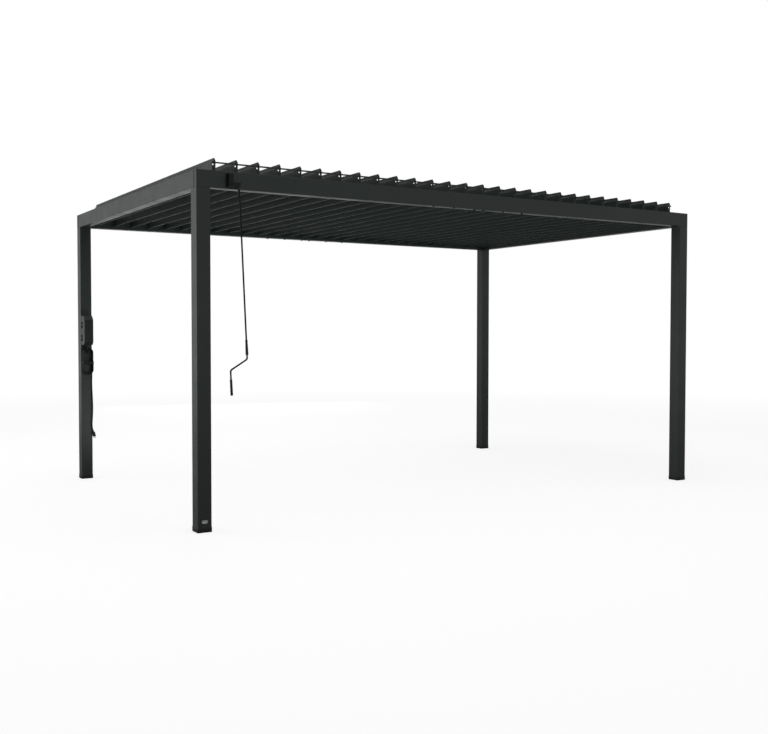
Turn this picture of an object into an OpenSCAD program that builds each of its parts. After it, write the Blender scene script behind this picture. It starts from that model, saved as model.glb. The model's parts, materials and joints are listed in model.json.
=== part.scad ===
// Louvered pergola: four posts, box beams with gutters, and a roof of tilting
// blades that one tie bar joins and a hanging hand crank drives.
// X runs along the row of blades, Y from front to back, Z up. Millimetres.

/* [Frame] */
// Overall length, along the row of blades
frame_l = 4880; // [3800:10:6000]
// Overall depth, from front to back
frame_d = 3050; // [2400:10:4000]
// Height of the top of the beams
frame_h = 2500; // [2100:10:3000]
// Side of a square post
post_w = 102; // [90:1:160]
// Wall of a post
post_wall = 2.2; // [1.5:0.1:4]
// Height of a beam
beam_h = 120; // [100:1:180]
// Thickness of a beam, outer face to inner face
beam_t = 44; // [30:1:60]
// Wall of a beam
beam_wall = 2.5; // [1.5:0.1:4]
// Width of the gutter on the inside of a beam
gutter_w = 30; // [20:1:45]
// Height of the gutter's upright
gutter_h = 58; // [30:1:80]
// Diameter of the weep holes under the beams
weep_d = 6; // [4:0.5:10]

/* [Feet] */
// Thickness of the anchor plate under a post
plate_t = 5; // [4:0.5:10]
// Height of the trim around the foot of a post
trim_h = 38; // [25:1:60]
// How far the trim stands out from the post
trim_t = 5; // [3:0.5:8]
// Distance between the anchor holes
anchor_gap = 60; // [40:1:80]
// Diameter of an anchor hole
anchor_d = 13; // [9:0.5:18]

/* [Blades] */
// Number of blades
blade_count = 28; // [20:1:34]
// Distance from the inside of a side beam to the first blade's pivot
row_margin = 116; // [112:1:180]
// Height of a blade above its pivot
blade_up = 104; // [90:1:112]
// Height of a blade below its pivot
blade_down = 96; // [84:1:110]
// Sheet thickness of a blade
sheet_t = 1.6; // [1:0.1:3]
// Offset of the blade's face from its pivot
face_out = 12; // [8:0.5:16]
// Offset of the top lip from the pivot
lip_in = 1.2; // [0:0.1:4]
// Height of the top lip
lip_h = 17; // [10:1:24]
// Height of the slope between the lip and the face
slope_h = 13; // [6:1:20]
// Width of the turned-up flange along the lower edge
hem_w = 7; // [4:0.5:9]
// Distance from the outside of the frame to a blade's end plate
end_inset = 80; // [76:1:120]
// Thickness of an end plate
end_t = 3; // [2:0.5:5]
// How far the end plate reaches to the far side of the pivot
end_out = 15; // [12:0.5:18]
// Diameter of the hole in an end plate
window_d = 11; // [8:0.5:12]
// Height of that hole above the pivot
window_up = 59; // [50:1:62]

/* [Pivots and tie bar] */
// Depth of the pivot line below the top of the beams
pivot_drop = 4; // [2:0.5:12]
// Diameter of a pivot pin
pivot_d = 8; // [6:0.5:10]
// Height of the pivot rail
rail_h = 24; // [20:1:40]
// Thickness of the pivot rail
rail_t = 6; // [4:0.5:8]
// Height of the tie bar
bar_h = 10.5; // [8:0.5:14]
// Thickness of the tie bar
bar_t = 5; // [3:0.5:6]
// Height of the tie bar's pins above the pivots
bar_up = 71; // [66:1:76]
// Sideways offset of the tie bar's pins from the pivots
bar_out = 8; // [6:0.5:10]
// Diameter of a tie bar pin
bar_pin_d = 6; // [4:0.5:7]
// Clearance around pins, shafts and sleeves
fit_gap = 0.3; // [0.2:0.05:0.5]

/* [Gearbox and crank] */
// Distance from the left end of the frame to the gearbox
gear_x = 226; // [180:1:400]
// Width of the gearbox
gear_w = 36; // [30:1:50]
// Height of the gearbox
gear_h = 92; // [70:1:110]
// How far the gearbox stands out from the beam
gear_out = 32; // [28:1:50]
// Depth of the gearbox's foot below the middle of the beam
gear_low = 48; // [40:1:60]
// Length of the side arm that holds the crank's eye
arm_l = 56; // [40:1:80]
// Height of the side arm
arm_h = 26; // [20:1:40]
// Thickness of the side arm
arm_t = 24; // [18:1:30]
// Radius of the eye, to the middle of its wire
eye_r = 10; // [8:0.5:14]
// Diameter of the eye's wire
eye_wire_d = 6; // [5:0.5:7]
// Diameter of the eye's shaft
eye_shaft_d = 12; // [8:0.5:16]
// Diameter of the wire of the crank's hook
hook_wire_d = 7; // [5:0.5:7]
// Radius of the hook, to the middle of its wire
hook_r = 8; // [7.5:0.5:10]
// Diameter of the crank rod
rod_d = 12; // [10:0.5:16]
// Length of the crank from its hook to its first bend
crank_l = 1180; // [800:10:1400]
// Sideways throw of the crank's handle
crank_throw = 130; // [90:5:180]
// Drop of the slanting part between the two bends
crank_step = 70; // [40:5:120]
// Length of the handle below the second bend
handle_l = 176; // [130:2:240]
// Angle at which the crank hangs
crank_lean = 2.7; // [0:0.1:4]
// Length of the upper grip
grip_upper_l = 106; // [80:2:140]
// Diameter of the upper grip
grip_upper_d = 20; // [18:0.5:28]
// Length of the lower grip
grip_lower_l = 112; // [80:2:124]
// Diameter of the lower grip
grip_lower_d = 18; // [17:0.5:26]

/* [Outlet box] */
// Width of the outlet box
box_w = 82; // [60:1:90]
// Depth of the outlet box
box_d = 123; // [110:1:160]
// Height of the outlet box
box_h = 273; // [240:1:320]
// Height of the underside of the outlet box above the ground
box_z = 1272; // [1272:1:1500]
// Distance from the outside of the post to the outlet box
box_in = 1; // [1:1:12]
// Size of the bevel at the front of the box
box_bevel = 38; // [20:1:44]
// Wall of the outlet box
box_wall = 4; // [2:0.5:6]
// Width of a socket insert
socket_w = 50; // [36:1:60]
// Height of a socket insert
socket_h = 26; // [24:1:30]
// Height between the two pairs of socket inserts
socket_gap = 122; // [90:1:130]
// Height between the two inserts of a pair
twin_gap = 33; // [32:1:38]
// Depth to which a socket insert is set in
socket_in = 4; // [2:0.5:8]

/* [Power cord] */
// Diameter of the cord
cord_d = 9; // [8:0.5:10]
// Length of the strain relief under the box
gland_l = 34; // [20:1:50]
// Length of the plug's body
plug_l = 44; // [36:1:60]
// Angle at which the plug hangs
plug_lean = 14; // [0:1:30]

/* [Plate] */
// Width of the plain plate on the front left post
badge_w = 46; // [30:1:60]
// Height of the plain plate
badge_h = 28; // [20:1:40]
// Thickness of the plain plate
badge_t = 1.5; // [1:0.1:3]
// Height of the plate's lower edge above the ground
badge_z = 60; // [50:1:300]

/* [Hidden] */
$fn = 48;
// Places along the frame
beam_z = frame_h - beam_h;
rim = beam_t + gutter_w;
pivot_z = frame_h - pivot_drop;
first_x = beam_t + row_margin;
blade_pitch = (frame_l - 2 * first_x) / (blade_count - 1);
blade_l = frame_d - 2 * end_inset;
// A step past a face, so that a cut runs clear through it
past = 1;
// Gap between the tie bar and the end plates, and beyond the bar
bar_gap = 5;
bar_y = end_inset - bar_gap - bar_t;
head_t = 3;
head_d = bar_pin_d + 5;
pin_stop = 1.5;
// The gearbox, its eye and the hook that hangs in the eye
gear_z = beam_z + beam_h / 2 - gear_low;
arm_y = -gear_out - 4;
arm_z = gear_z + 5;
eye_x = gear_x + gear_w + arm_l - arm_h / 2;
eye_y = arm_y + arm_t / 2;
socket_depth = 14;
eye_neck = 8;
eye_z = arm_z - eye_neck - eye_r;
hook_z = eye_z - eye_r + eye_wire_d / 2 + hook_wire_d / 2 + fit_gap;
hook_leg = 24;
hook_tip = 9;
// How much thicker the rod is in its bends and the hook at its ends
swell = 0.6;
bend_r = 22;
// The outlet box and its cord
post_face = frame_d - post_w;
box_y = post_face - box_d;
socket_y = box_y + 90;
box_mid_z = box_z + box_h / 2 - 10;
low_bevel = 0.7 * box_bevel;
cord_r = cord_d / 2;
gland_x = box_in + box_w / 2;
gland_y = box_y + 53;
gland_z = box_z - gland_l;
// The wound part of the cord: its turns lie side by side, from front to back
hank_turns = 5;
hank_bend = 43.5;
hank_run = 160;
hank_x = post_w / 2 + 5;
hank_z = 1118;
hank_t = hank_turns * cord_d + 1;
hank_y = post_face - 1 - hank_t;
// Offsets of the hanging end from the right side of the hank
tail_route = [
    [0, 0, 0], [-1, 0, -40], [-2.5, -1, -90], [-2, -2, -160], [0.5, -4, -230], [2.5, -6, -305],
    [2, -8, -370], [-1, -9, -430], [-4.5, -10, -480], [-5, -10, -515], [0, -10, -550]
];
// The object's own origin: the middle of its footprint, on the ground
front_reach = max(-arm_y, hook_r + grip_upper_d / 2 - eye_y, trim_t);
origin_x = frame_l / 2;
origin_y = (frame_d + trim_t - front_reach) / 2;

frame_grey = [0.20, 0.21, 0.21];
blade_grey = [0.24, 0.25, 0.25];
black = [0.07, 0.07, 0.07];
steel = [0.62, 0.63, 0.64];

function two_digits(i) = str(i < 10 ? "0" : "", i);
function blade_x(i) = first_x + (i - 1) * blade_pitch;

// ---- shared shapes ----

// A plate with rounded corners, centred on X and Y
module rounded_plate(w, h, t, r) {
    linear_extrude(t) {
        square([w - 2 * r, h], center = true);
        square([w, h - 2 * r], center = true);
        for (x = [-1, 1], y = [-1, 1]) {
            translate([x * (w / 2 - r), y * (h / 2 - r)]) circle(r);
        }
    }
}

// A pin along +Y
module pin_y(d, l) {
    rotate([-90, 0, 0]) cylinder(d = d, h = l);
}

// A smooth curve through a list of points, a few steps a span
function spline_point(a, b, c, d, t) =
    0.5 * (2 * b + (c - a) * t + (2 * a - 5 * b + 4 * c - d) * t * t
        + (3 * b - a - 3 * c + d) * t * t * t);
function spline(p, steps) = [
    for (i = [0 : len(p) - 2], s = [0 : steps - 1])
        spline_point(p[max(i - 1, 0)], p[i], p[i + 1], p[min(i + 2, len(p) - 1)], s / steps),
    p[len(p) - 1]
];

function unit(v) = v / norm(v);
// Direction of a curve at one of its points
function heading(p, i) = unit(p[min(i + 1, len(p) - 1)] - p[max(i - 1, 0)]);
// A ring of points around a curve, square to it
function tube_ring(p, i, r, sides) =
    let (
        ahead = heading(p, i),
        side = unit(cross(ahead, [0.31, 0.95, 0.05])),
        up = cross(side, ahead)
    )
    [for (k = [0 : sides - 1]) p[i] + r * (cos(k * 360 / sides) * side + sin(k * 360 / sides) * up)];

// A round tube swept along a curve
module cord_tube(p, r, sides) {
    rings = [for (i = [0 : len(p) - 1]) each tube_ring(p, i, r, sides)];
    walls = [
        for (i = [0 : len(p) - 2], k = [0 : sides - 1])
            let (a = i * sides + k, b = i * sides + (k + 1) % sides)
            each [[a, b, b + sides], [a, b + sides, a + sides]]
    ];
    last = (len(p) - 1) * sides;
    caps = [
        [for (k = [0 : sides - 1]) sides - 1 - k],
        [for (k = [0 : sides - 1]) last + k]
    ];
    polyhedron(points = rings, faces = concat(walls, caps));
}

// ---- posts and feet ----

// A hollow post, closed at the top, with its corner at the origin
module post() {
    color(frame_grey) difference() {
        translate([0, 0, plate_t]) cube([post_w, post_w, beam_z - plate_t]);
        translate([post_wall, post_wall, plate_t - past])
            cube([post_w - 2 * post_wall, post_w - 2 * post_wall, beam_z - plate_t - 2 * post_wall + past]);
    }
}

// The anchor plate and the trim around the foot of a post
module foot() {
    outer = post_w + 2 * trim_t;
    inner = post_w + 2 * fit_gap;
    color(black) difference() {
        translate([-trim_t, -trim_t, 0]) cube([outer, outer, trim_h]);
        translate([-fit_gap, -fit_gap, plate_t]) cube([inner, inner, trim_h]);
        for (x = [-1, 1], y = [-1, 1]) {
            translate([(post_w + x * anchor_gap) / 2, (post_w + y * anchor_gap) / 2, -past])
                cylinder(d = anchor_d, h = plate_t + 2 * past);
        }
    }
}

module at_corner(right, rear) {
    translate([right * (frame_l - post_w), rear * (frame_d - post_w), 0]) children();
}

// ---- beams ----

// Section of a beam's box: outer face on the Y axis, underside on the X axis
module box_section() {
    difference() {
        square([beam_t, beam_h]);
        translate([beam_wall, beam_wall]) square([beam_t - 2 * beam_wall, beam_h - 2 * beam_wall]);
    }
}

// Section of the gutter that stands on the beam's inside
module gutter_section() {
    translate([beam_t, 0]) square([gutter_w, beam_wall]);
    translate([rim - beam_wall, 0]) square([beam_wall, gutter_h]);
}

// A long beam along +X, with closed ends and weep holes
module long_beam() {
    color(frame_grey) translate([0, 0, beam_z]) difference() {
        union() {
            rotate([90, 0, 90]) linear_extrude(frame_l) box_section();
            translate([beam_t, 0, 0])
                rotate([90, 0, 90]) linear_extrude(frame_l - 2 * beam_t) gutter_section();
            for (x = [0, frame_l - beam_wall]) {
                translate([x, 0, 0]) cube([beam_wall, beam_t, beam_h]);
            }
        }
        for (x = [2 * post_w, frame_l - 2 * post_w]) {
            translate([x, beam_t / 2, -past]) cylinder(d = weep_d, h = beam_wall + 2 * past);
        }
    }
}

// A side beam along +Y, between the long beams
module side_beam() {
    color(frame_grey) translate([0, 0, beam_z]) {
        translate([0, beam_t, 0]) side_run(frame_d - 2 * beam_t) box_section();
        translate([0, rim, 0]) side_run(frame_d - 2 * rim) gutter_section();
    }
}

// A section drawn across X and Z, run along +Y
module side_run(l) {
    translate([0, l, 0]) rotate([90, 0, 0]) linear_extrude(l) children();
}

// ---- pivots ----

// The rail inside a long beam, with a hole for each blade's pin
module pivot_rail() {
    clear = beam_t + 12;
    color(frame_grey) difference() {
        translate([clear, beam_t, pivot_z - rail_h / 2])
            cube([frame_l - 2 * clear, rail_t, rail_h]);
        for (i = [1 : blade_count]) {
            translate([blade_x(i), beam_t - past, pivot_z])
                pin_y(pivot_d + 2 * fit_gap, rail_t + 2 * past);
        }
    }
}

// Turns what is made at the front round to the back
module rear_side() {
    translate([0, frame_d, 0]) mirror([0, 1, 0]) children();
}

// ---- blades ----

// Section of the sheet, across X and Z, with the pivot at the origin
module sheet_section() {
    slope_top = blade_up - lip_h;
    slope_foot = slope_top - slope_h;
    polygon([
        [-face_out, -blade_down],
        [-face_out, slope_foot],
        [lip_in, slope_top],
        [lip_in, blade_up],
        [lip_in + sheet_t, blade_up],
        [lip_in + sheet_t, slope_top - sheet_t / 2],
        [sheet_t - face_out, slope_foot - sheet_t / 2],
        [sheet_t - face_out, sheet_t - blade_down],
        [hem_w - face_out, sheet_t - blade_down],
        [hem_w - face_out, -blade_down]
    ]);
}

// Outline of an end plate, in the same plane
module end_section() {
    slope_top = blade_up - lip_h;
    foot = pivot_d * 2.75;
    polygon([
        [-face_out, -foot],
        [-face_out, slope_top - slope_h],
        [lip_in, slope_top],
        [lip_in, blade_up],
        [lip_in + 3, blade_up],
        [end_out, slope_top + 2],
        [end_out, 8 - foot],
        [end_out - 8, -foot]
    ]);
}

// Centre of the round hole in an end plate
window_x = lip_in - window_d / 2;

// An end plate with its pivot pin, which points to -Y
module blade_end() {
    pin_l = end_inset - beam_t - pin_stop;
    difference() {
        side_run(end_t) end_section();
        translate([window_x, -past, window_up]) pin_y(window_d, end_t + 2 * past);
    }
    translate([0, -pin_l, 0]) pin_y(pivot_d, pin_l + end_t);
}

// The pin that carries the tie bar, with its head
module bar_pin() {
    reach = end_inset - bar_y + fit_gap;
    translate([bar_out, -reach, bar_up]) pin_y(bar_pin_d, reach + end_t);
    translate([bar_out, -reach - head_t, bar_up]) pin_y(head_d, head_t);
}

// One blade, with its pivot on its own place in the row
module louver(i) {
    color(blade_grey) translate([blade_x(i), end_inset, pivot_z]) {
        translate([0, end_t, 0]) side_run(blade_l - 2 * end_t) sheet_section();
        blade_end();
        bar_pin();
        translate([0, blade_l, 0]) mirror([0, 1, 0]) blade_end();
    }
}

// The bar that joins all the blades near their front ends
module tie_bar() {
    tail = bar_h;
    color(steel) difference() {
        translate([first_x + bar_out - tail, bar_y, pivot_z + bar_up - bar_h / 2])
            cube([blade_x(blade_count) - first_x + 2 * tail, bar_t, bar_h]);
        for (i = [1 : blade_count]) {
            translate([blade_x(i) + bar_out, bar_y - past, pivot_z + bar_up])
                pin_y(bar_pin_d + 2 * fit_gap, bar_t + 2 * past);
        }
    }
}

// ---- gearbox and crank ----

// The gearbox on the front beam, with the arm that holds the eye's shaft
module gearbox() {
    mount_t = 4;
    color(black) difference() {
        union() {
            translate([gear_x - 3, -mount_t, gear_z - 3]) cube([gear_w + 6, mount_t, gear_h + 6]);
            translate([gear_x, -gear_out, gear_z]) cube([gear_w, gear_out, gear_h]);
            translate([gear_x + gear_w / 2, arm_y, arm_z])
                cube([arm_l + gear_w / 2 - arm_h / 2, arm_t, arm_h]);
            translate([eye_x, eye_y, arm_z]) cylinder(d = arm_t, h = arm_h);
        }
        translate([eye_x, eye_y, arm_z - past])
            cylinder(d = eye_shaft_d + 2 * fit_gap, h = socket_depth + past);
    }
}

// A ring of round wire that stands across Y
module wire_ring(r, wire_d) {
    rotate([90, 0, 0]) rotate_extrude() translate([r, 0]) circle(d = wire_d);
}

// The turning eye under the arm
module gear_eye() {
    shaft_top = arm_z + socket_depth - fit_gap;
    shaft_foot = eye_z + eye_r;
    color(steel) {
        translate([eye_x, eye_y, eye_z]) wire_ring(eye_r, eye_wire_d);
        translate([eye_x, eye_y, shaft_foot]) cylinder(d = eye_shaft_d, h = shaft_top - shaft_foot);
    }
}

// A straight round bar between two points
module bar_between(a, b, d) {
    v = b - a;
    translate(a) rotate([0, acos(v.z / norm(v)), atan2(v.y, v.x)]) cylinder(d = d, h = norm(v));
}

// Places what hangs in the eye, with the hook's middle at the origin
module hanging() {
    translate([eye_x, eye_y, hook_z]) rotate([0, -crank_lean, 0]) children();
}

// Points of the crank below its hook
rod_top = [0, -hook_r, -hook_r - hook_leg];
bend_upper = [0, -hook_r, -crank_l];
bend_lower = [-crank_throw, -hook_r, -crank_l - crank_step];
handle_end = bend_lower - [0, 0, handle_l];

// The angle of each bend, and where the bends meet the straight parts
bend_angle = atan2(crank_throw, crank_step);
bend_side = bend_r * tan(bend_angle / 2);
upper_centre = bend_upper + [-bend_r, 0, bend_side];
lower_centre = bend_lower + [bend_r, 0, -bend_side];
bend_offset = bend_r * [cos(bend_angle), 0, -sin(bend_angle)];

// A quarter turn or less of round bar, from +X towards +Y
module bar_bend(r, d, angle) {
    rotate_extrude(angle = angle) translate([r, 0]) circle(d = d);
}

// A straight part of the rod, which reaches into the bends at its ends
module rod_part(a, b) {
    reach = past * unit(b - a);
    bar_between(a - reach, b + reach, rod_d);
}

module crank_rod() {
    bend_d = rod_d + swell;
    color(black) hanging() {
        translate([0, 0, -hook_r]) rotate([90, 0, 90]) bar_bend(hook_r, hook_wire_d, 180);
        for (leg = [[hook_r, hook_tip], [-hook_r, hook_leg]]) {
            translate([0, leg.x, -hook_r - leg.y])
                cylinder(d = hook_wire_d + swell, h = leg.y + swell);
        }
        rod_part(rod_top, upper_centre + [bend_r, 0, 0]);
        translate(upper_centre) rotate([-90, 0, 0]) bar_bend(bend_r, bend_d, bend_angle);
        rod_part(upper_centre + bend_offset, lower_centre - bend_offset);
        translate(lower_centre) rotate([90, 0, 180]) bar_bend(bend_r, bend_d, bend_angle);
        rod_part(lower_centre - [bend_r, 0, 0], handle_end);
    }
}

// A sleeve around the rod, with its upper end at a point
module grip(top, l, d) {
    translate(top - [0, 0, l]) difference() {
        cylinder(d = d, h = l);
        translate([0, 0, -past]) cylinder(d = rod_d + fit_gap, h = l + 2 * past);
    }
}

module crank_grips() {
    above_bend = 30;
    color(black) hanging() {
        grip(bend_upper + [0, 0, grip_upper_l + above_bend], grip_upper_l, grip_upper_d);
        grip(handle_end + [0, 0, grip_lower_l], grip_lower_l, grip_lower_d);
    }
}

// ---- outlet box, cord and plate ----

module socket_places() {
    for (pair = [-1, 1], one = [-1, 1]) {
        translate([box_in, socket_y, box_mid_z + pair * socket_gap / 2 + one * twin_gap / 2])
            rotate([90, 0, 90]) children();
    }
}

// The box on the rear left post, bevelled at its front, top and bottom
module outlet_box() {
    color(frame_grey) difference() {
        translate([box_in, 0, 0]) rotate([90, 0, 90]) linear_extrude(box_w) polygon([
            [box_y, box_z + low_bevel],
            [box_y + low_bevel, box_z],
            [post_face, box_z],
            [post_face, box_z + box_h],
            [box_y + box_bevel, box_z + box_h],
            [box_y, box_z + box_h - box_bevel]
        ]);
        socket_places() translate([0, 0, -past])
            rounded_plate(socket_w + 1, socket_h + 1, socket_in + past, 8.5);
        translate([box_in + socket_in + box_wall, box_y + box_wall, box_z + box_bevel])
            cube([box_w - socket_in - 2 * box_wall, box_d, box_h - 2 * box_bevel]);
    }
}

// Two pairs of socket inserts, set into the side of the box
module outlet_sockets() {
    plate_depth = 2.5;
    slot = [2, 8];
    color(black) socket_places() translate([0, 0, socket_in - plate_depth]) difference() {
        rounded_plate(socket_w, socket_h, plate_depth, 8);
        translate([0, 0, plate_depth / 2 - past]) {
            for (x = [-6.5, 6.5]) translate([x, 4, 0]) cube([slot.x, slot.y, 2 * past], center = true);
            translate([0, -7, -past]) cylinder(d = 5, h = 2 * past);
        }
    }
}

// The tapered strain relief under the box
module cord_gland() {
    collar_t = 6;
    color(black) {
        translate([gland_x, gland_y, box_z - collar_t]) cylinder(d = cord_d + 12, h = collar_t);
        translate([gland_x, gland_y, gland_z])
            cylinder(d1 = cord_d + 2, d2 = cord_d + 8, h = gland_l - collar_t);
    }
}

lead_start = [gland_x, gland_y, gland_z];
lead_end = [hank_x + hank_bend, hank_y - cord_r, hank_z - 8];
lead_steps = 16;
// The cord's upper stretch leaves both ends straight down
function lead_point(t) =
    let (side = t * t * (3 - 2 * t), way = lead_end - lead_start)
    lead_start + [way.x * side, way.y * side, way.z * t];
hank_edge = sqrt(pow(hank_bend + cord_r, 2) - pow(hank_bend, 2));
tail_start = [hank_x + hank_bend, post_face - cord_r - 1.5, hank_z - hank_run / 2 - hank_edge];

// The two free stretches of the cord: box to hank, and hank to plug
module power_cord() {
    color(black) {
        cord_tube([for (i = [0 : lead_steps]) lead_point(i / lead_steps)], cord_r, 8);
        cord_tube(spline([for (p = tail_route) tail_start + p], 4), cord_r, 8);
    }
}

// The outer shape of the wound part of the cord
module cord_hank() {
    outer = 2 * hank_bend + cord_d;
    color(black) translate([hank_x, hank_y, hank_z]) side_run(hank_t) {
        square([outer, hank_run], center = true);
        for (z = [-1, 1]) translate([0, z * hank_run / 2]) circle(d = outer);
    }
}

// The plug at the cord's end, with its blades pointing down
module plug() {
    color(black) translate(tail_start + tail_route[len(tail_route) - 1])
        rotate([0, -plug_lean, 0]) {
            translate([0, 0, -24]) cylinder(d1 = cord_d + 6, d2 = cord_d + 1.5, h = 24);
            translate([0, 0, -24 - plug_l]) rounded_plate(30, 23, plug_l, 8);
            for (x = [-6.5, 6.5]) {
                translate([x - 0.8, -1, -24 - plug_l - 17]) cube([1.6, 7, 18]);
            }
            translate([0, -7, -24 - plug_l - 19]) cylinder(d = 4.8, h = 20);
        }
}

module badge_plate() {
    color(steel) translate([post_w / 2, 0, badge_z + badge_h / 2])
        rotate([90, 0, 0]) rounded_plate(badge_w, badge_h, badge_t, 2);
}

// ---- the assembly ----

translate([-origin_x, -origin_y, 0]) {
    at_corner(0, 0) post();  // post_front_left
    at_corner(1, 0) post();  // post_front_right
    at_corner(0, 1) post();  // post_rear_left
    at_corner(1, 1) post();  // post_rear_right
    at_corner(0, 0) foot();  // foot_front_left
    at_corner(1, 0) foot();  // foot_front_right
    at_corner(0, 1) foot();  // foot_rear_left
    at_corner(1, 1) foot();  // foot_rear_right
    long_beam();  // beam_front
    rear_side() long_beam();  // beam_rear
    side_beam();  // beam_left
    translate([frame_l, 0, 0]) mirror([1, 0, 0]) side_beam();  // beam_right
    pivot_rail();  // pivot_rail_front
    rear_side() pivot_rail();  // pivot_rail_rear
    for (i = [1 : blade_count]) {
        louver(i);
    }
    tie_bar();
    gearbox();
    gear_eye();
    crank_rod();
    crank_grips();
    outlet_box();
    outlet_sockets();
    cord_gland();
    power_cord();
    cord_hank();
    plug();
    badge_plate();
}
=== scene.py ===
# %% [markdown]
# A louvered pergola in Blender.
# Four square posts carry box beams, and 28 tilting blades make the roof. The metal parts come
# ready-made as a fixed frame in metres. This lesson adds what the frame can't carry: finishes,
# rounded edges, screws, ribbed grips, the wound power cord, and a studio to look at it all in.

# %% Load the frame
import bpy
import bmesh
import json
import math
from mathutils import Matrix, Vector


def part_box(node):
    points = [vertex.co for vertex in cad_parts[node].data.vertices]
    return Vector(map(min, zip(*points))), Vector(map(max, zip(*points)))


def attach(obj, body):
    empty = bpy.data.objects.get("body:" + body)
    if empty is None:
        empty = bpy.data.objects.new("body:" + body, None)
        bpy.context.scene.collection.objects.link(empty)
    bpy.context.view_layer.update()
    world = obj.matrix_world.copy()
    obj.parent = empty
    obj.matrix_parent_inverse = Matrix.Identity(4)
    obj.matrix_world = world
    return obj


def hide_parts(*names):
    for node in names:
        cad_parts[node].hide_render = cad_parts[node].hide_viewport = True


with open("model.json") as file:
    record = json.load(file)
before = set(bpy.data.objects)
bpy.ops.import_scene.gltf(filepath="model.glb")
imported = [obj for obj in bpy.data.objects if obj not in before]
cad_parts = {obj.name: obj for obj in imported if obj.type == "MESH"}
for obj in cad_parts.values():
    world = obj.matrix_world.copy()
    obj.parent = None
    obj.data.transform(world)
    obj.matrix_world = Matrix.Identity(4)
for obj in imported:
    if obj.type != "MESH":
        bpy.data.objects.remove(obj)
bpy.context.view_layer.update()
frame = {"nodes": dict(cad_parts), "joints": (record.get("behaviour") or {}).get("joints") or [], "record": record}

# %% [markdown]
# Every part is placed from one corner: the outside of the near left post, on the ground. A small
# helper turns millimetres from that corner into the scene's metres, so that the numbers below can
# be read as a builder's measurements.

# %% Measure from the near left corner
MM = 0.001
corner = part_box("post_front_left")[0].copy()
corner.z = 0.0
far_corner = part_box("post_rear_right")[1]
frame_l = (far_corner.x - corner.x) / MM
frame_d = (far_corner.y - corner.y) / MM
post_w = (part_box("post_front_left")[1].x - corner.x) / MM


def at(x, y, z):
    """Millimetres from the near left ground corner, as a point of the scene."""
    return corner + MM * Vector((x, y, z))


def box_mm(node):
    """A node's two corners in millimetres from the same place."""
    low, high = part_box(node)
    return (low - corner) / MM, (high - corner) / MM


print(f"frame {frame_l:.0f} x {frame_d:.0f} mm, posts {post_w:.0f} mm")

# %% [markdown]
# The camera comes first, because everything else is judged through it. It stands off the near left
# corner at chest height and looks almost level, so that the posts stay upright. A small sideways
# shift of the lens brings the pergola to the middle of the view.

# %% Camera
camera = bpy.data.objects.new("camera", bpy.data.cameras.new("camera"))
bpy.context.scene.collection.objects.link(camera)
camera.location = (-4.9231, -7.7970, 1.3720)
camera.rotation_euler = (math.radians(88.22), 0.0, math.radians(-30.61))
camera.data.sensor_width = 36.0
camera.data.lens = 45.70
camera.data.shift_x = 0.0408
camera.data.shift_y = -0.0032
camera.data.clip_start, camera.data.clip_end = 0.1, 200.0
bpy.context.scene.camera = camera
print("camera looks along", (camera.matrix_basis.to_3x3() @ Vector((0, 0, -1)))[:])

# %% [markdown]
# The power cord is next. It leaves the outlet box through a strain relief, runs down in front of a
# hank of five long turns, enters its first turn, and hangs from the last one with the plug on its
# end. A cord is easiest to make as one curve: Blender sweeps a round section along it, and its
# length can be added up from its points.

# %% Places along the cord
cord_d = 9.0
cord_r = cord_d / 2
hank_turns = 5
hank_low, hank_high = box_mm("cord_hank")
hank_bend = (hank_high.x - hank_low.x) / 2 - cord_r
hank_x = (hank_low.x + hank_high.x) / 2
hank_z = (hank_low.z + hank_high.z) / 2
hank_run = (hank_high.z - hank_low.z) - 2 * (hank_bend + cord_r)
gland_low, gland_high = box_mm("cord_gland")
post_face = frame_d - post_w

lead_start = (gland_low + gland_high) / 2
lead_start.z = gland_low.z
lead_end = Vector((hank_x + hank_bend, hank_low.y - cord_r, hank_z - 8))
print("hank middle", round(hank_x), round(hank_z), "run", round(hank_run), "bend", round(hank_bend))

# %% [markdown]
# The lead falls in a soft S. Each turn is two straight runs joined by half circles, and the turns
# step back one after another. The hanging end bends a little, as a stiff cord does.

# %% The lead, the turns and the hanging end


def lead_points(steps):
    """From the strain relief to the front of the hank, straight down at both ends."""
    way = lead_end - lead_start
    for i in range(steps):
        t = i / steps
        side = t * t * (3 - 2 * t)
        yield lead_start + Vector((way.x * side, way.y * side, way.z * t))


def hank_points(steps):
    """The turns, clockwise from the right run, stepping one cord to the back each turn."""
    half = hank_run / 2
    arc = math.pi * hank_bend
    turn = 2 * (hank_run + arc)
    start = half - (lead_end.z - hank_z)
    total = hank_turns * turn + (hank_run - start)
    back = hank_high.y - cord_r
    for i in range(steps + 1):
        way = total * i / steps
        s = (start + way) % turn
        y = lead_end.y + (back - lead_end.y) * way / total
        if s < hank_run:
            x, z = hank_bend, half - s
        elif s < hank_run + arc:
            a = (s - hank_run) / hank_bend
            x, z = hank_bend * math.cos(a), -half - hank_bend * math.sin(a)
        elif s < 2 * hank_run + arc:
            x, z = -hank_bend, -half + (s - hank_run - arc)
        else:
            a = (s - 2 * hank_run - arc) / hank_bend
            x, z = -hank_bend * math.cos(a), half + hank_bend * math.sin(a)
        yield Vector((hank_x + x, y, hank_z + z))


hank_edge = math.sqrt((hank_bend + cord_r) ** 2 - hank_bend**2)
tail_gap = 1.5  # between the hanging end and the post
tail_start = Vector((
    hank_x + hank_bend, post_face - cord_r - tail_gap, hank_z - hank_run / 2 - hank_edge,
))
tail_route = [  # from where the last turn lets go
    (0, 0, 0), (-1, 0, -40), (-2.5, -1, -90), (-2, -2, -160), (0.5, -4, -230), (2.5, -6, -305),
    (2, -8, -370), (-1, -9, -430), (-4.5, -10, -480), (-5, -10, -515), (0, -10, -550),
]


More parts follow.
